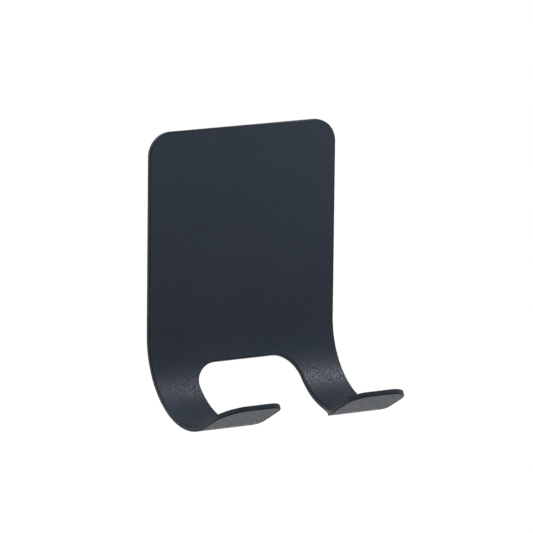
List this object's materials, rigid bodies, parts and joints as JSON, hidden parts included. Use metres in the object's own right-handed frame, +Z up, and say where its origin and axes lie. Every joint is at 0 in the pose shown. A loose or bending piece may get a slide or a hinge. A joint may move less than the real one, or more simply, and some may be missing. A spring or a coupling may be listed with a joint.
{
  "type": "hair dryer holder",
  "caption": "Wall-mounted hair dryer holder: a powder-coated steel sheet bent forward into a forked hook with raised lips, stuck to the wall by an adhesive foam pad.",
  "frame": {"origin": "centre of the tape pad's wall face, level with the middle of the plate's flat part", "axes": "+Z up, +Y into the wall, +X to the right of someone facing the wall; the prongs point to -Y"},
  "size_m": [0.08, 0.0608, 0.1063],
  "materials": {
    "powder_coat": "matt charcoal powder coat with a fine grain, on 2 mm steel sheet",
    "foam": "closed-cell foam, pale grey",
    "adhesive": "clear tacky acrylic film"
  },
  "bodies": {
    "root": {"hook_plate": "powder_coat", "plate_side_adhesive": "adhesive", "foam_tape_core": "foam", "wall_side_adhesive": "adhesive"}
  },
  "joints": []
}
